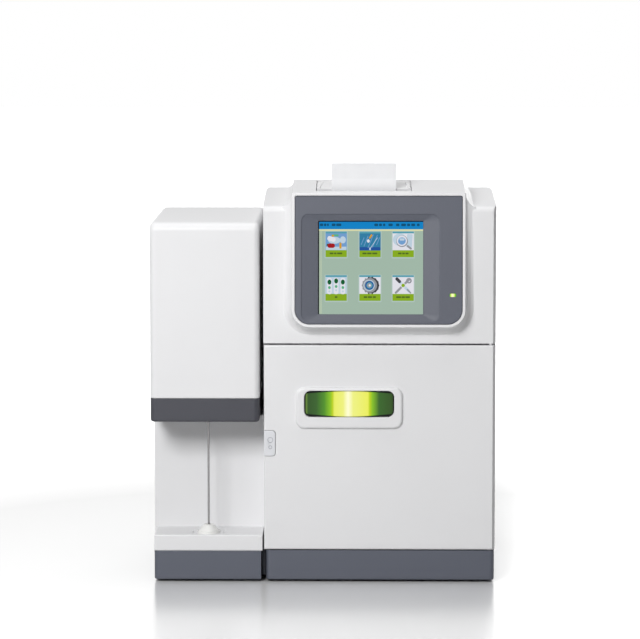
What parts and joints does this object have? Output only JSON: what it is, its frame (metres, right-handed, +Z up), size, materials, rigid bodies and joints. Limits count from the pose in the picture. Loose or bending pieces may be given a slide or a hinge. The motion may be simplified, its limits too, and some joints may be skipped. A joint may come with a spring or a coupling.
{
  "type": "electrolyte analyzer",
  "caption": "Benchtop electrolyte analyzer with tilted touch display, strip printer, hinged service door, and a side sampling module with a lifting needle.",
  "frame": {"origin": "centre of the overall footprint, on the floor under the feet", "axes": "+Z up, the front with the display and door faces -Y, the sampling module is at -X"},
  "size_m": [0.31, 0.2542, 0.3781],
  "materials": {
    "case_white": "satin",
    "door_white": "satin",
    "key_white": "satin",
    "lid_white": "satin",
    "tray_white": "satin",
    "cup_white": "gloss",
    "base_grey": "satin",
    "trim_grey": "satin",
    "column_white": "satin",
    "foot_rubber": "matte",
    "bezel_grey": "satin",
    "screen_glass": "gloss",
    "lcd_face": "satin",
    "circuit_green": "satin",
    "lamp_yellow": "gloss",
    "lens_green": "gloss",
    "frame_grey": "satin",
    "carton_white": "matte",
    "magnet_dark": "matte",
    "holder_dark": "satin",
    "electrode_clear": "gloss",
    "pump_ivory": "satin",
    "rotor_grey": "satin",
    "roller_white": "satin",
    "tube_clear": "gloss",
    "motor_steel": "satin",
    "valve_acrylic": "gloss",
    "supply_steel": "satin",
    "panel_grey": "satin",
    "bright_steel": "satin",
    "drive_steel": "satin",
    "inlet_black": "satin",
    "rocker_black": "gloss",
    "port_steel": "satin",
    "fan_black": "satin",
    "printer_white": "satin",
    "printhead_dark": "satin",
    "paper_white": "matte",
    "platen_rubber": "matte",
    "carriage_grey": "satin",
    "needle_steel": "gloss"
  },
  "bodies": {
    "analyzer": {"base_pan": "base_grey", "bezel": "bezel_grey", "display_board": "circuit_green", "door_magnet": "magnet_dark", "drive_frame": "drive_steel", "electrode_1": "electrode_clear", "electrode_2": "electrode_clear", "electrode_3": "electrode_clear", "electrode_4": "electrode_clear", "electrode_5": "electrode_clear", "electrode_holder": "holder_dark", "fan_frame": "fan_black", "feet": "foot_rubber", "guide_rod_left": "bright_steel", "guide_rod_right": "bright_steel", "head_trim": "trim_grey", "hinge_pins": "bright_steel", "inner_frame": "frame_grey", "lamp_lens": "lamp_yellow", "lcd_panel": "lcd_face", "lift_motor": "motor_steel", "lower_casing": "case_white", "main_board": "circuit_green", "panel_screws": "bright_steel", "power_inlet": "inlet_black", "power_supply": "supply_steel", "print_head": "printhead_dark", "printer_tub": "printer_white", "pump_body": "pump_ivory", "pump_motor": "motor_steel", "pump_tube": "tube_clear", "reagent_pack": "carton_white", "rear_panel": "panel_grey", "sampler_base": "base_grey", "sampler_column": "column_white", "sampler_head": "case_white", "sampler_tray": "tray_white", "serial_port": "port_steel", "thermal_paper": "paper_white", "touch_panel": "screen_glass", "upper_shell": "case_white", "valve_block": "valve_acrylic", "wash_cup": "cup_white"},
    "door": {"front_door": "door_white", "window_lens": "lens_green", "lamp_board": "circuit_green"},
    "latch": {"latch_key": "key_white"},
    "lift": {"needle_carriage": "carriage_grey", "needle": "needle_steel"},
    "screw": {"lead_screw": "bright_steel"},
    "lid": {"printer_lid": "lid_white"},
    "platen": {"platen_roller": "platen_rubber"},
    "rotor": {"pump_rotor": "rotor_grey"},
    "roller_1": {"pump_roller_1": "roller_white"},
    "roller_2": {"pump_roller_2": "roller_white"},
    "roller_3": {"pump_roller_3": "roller_white"},
    "fan": {"fan_rotor": "fan_black"},
    "rocker": {"rocker_switch": "rocker_black"}
  },
  "joints": [
    {"name": "door_swing", "type": "hinge", "parent": "analyzer", "child": "door", "pos_m": [0.15, -0.10838, 0.12], "axis": [0, 0, 1], "range_deg": [0, 110]},
    {"name": "latch_press", "type": "slide", "parent": "door", "child": "latch", "axis": [0, 1, 0], "range_m": [0, 0.0022], "stiffness_N_per_m": 400, "springref_m": -0.001},
    {"name": "needle_lift", "type": "slide", "parent": "analyzer", "child": "lift", "axis": [0, 0, 1], "range_m": [0, 0.095]},
    {"name": "screw_spin", "type": "hinge", "parent": "analyzer", "child": "screw", "pos_m": [-0.1038, -0.07088, 0.2], "axis": [0, 0, 1], "range_deg": [0, 2140]},
    {"name": "lid_swing", "type": "hinge", "parent": "analyzer", "child": "lid", "pos_m": [0.0365, -0.05864, 0.35858], "axis": [-1, 0, 0], "range_deg": [0, 75]},
    {"name": "platen_spin", "type": "hinge", "parent": "lid", "child": "platen", "pos_m": [0.0365, -0.09331, 0.34877], "axis": [1, 0, 0], "continuous": true},
    {"name": "pump_spin", "type": "hinge", "parent": "analyzer", "child": "rotor", "pos_m": [0.112, -0.07828, 0.089], "axis": [0, 1, 0], "continuous": true},
    {"name": "roller_1_spin", "type": "hinge", "parent": "rotor", "child": "roller_1", "pos_m": [0.112, -0.07828, 0.1015], "axis": [0, 1, 0], "continuous": true},
    {"name": "roller_2_spin", "type": "hinge", "parent": "rotor", "child": "roller_2", "pos_m": [0.10118, -0.07828, 0.08275], "axis": [0, 1, 0], "continuous": true},
    {"name": "roller_3_spin", "type": "hinge", "parent": "rotor", "child": "roller_3", "pos_m": [0.12283, -0.07828, 0.08275], "axis": [0, 1, 0], "continuous": true},
    {"name": "fan_spin", "type": "hinge", "parent": "analyzer", "child": "fan", "pos_m": [0.08475, 0.1125, 0.132], "axis": [0, 1, 0], "continuous": true},
    {"name": "switch_rock", "type": "hinge", "parent": "analyzer", "child": "rocker", "pos_m": [0.01275, 0.12062, 0.12], "axis": [-1, 0, 0], "range_deg": [0, 28]}
  ],
  "couplings": [
    {"joint": "screw_spin", "follows": "needle_lift", "rad_per_m": 392.7},
    {"joint": "roller_1_spin", "follows": "pump_spin", "ratio": -4.125},
    {"joint": "roller_2_spin", "follows": "pump_spin", "ratio": -4.125},
    {"joint": "roller_3_spin", "follows": "pump_spin", "ratio": -4.125}
  ]
}
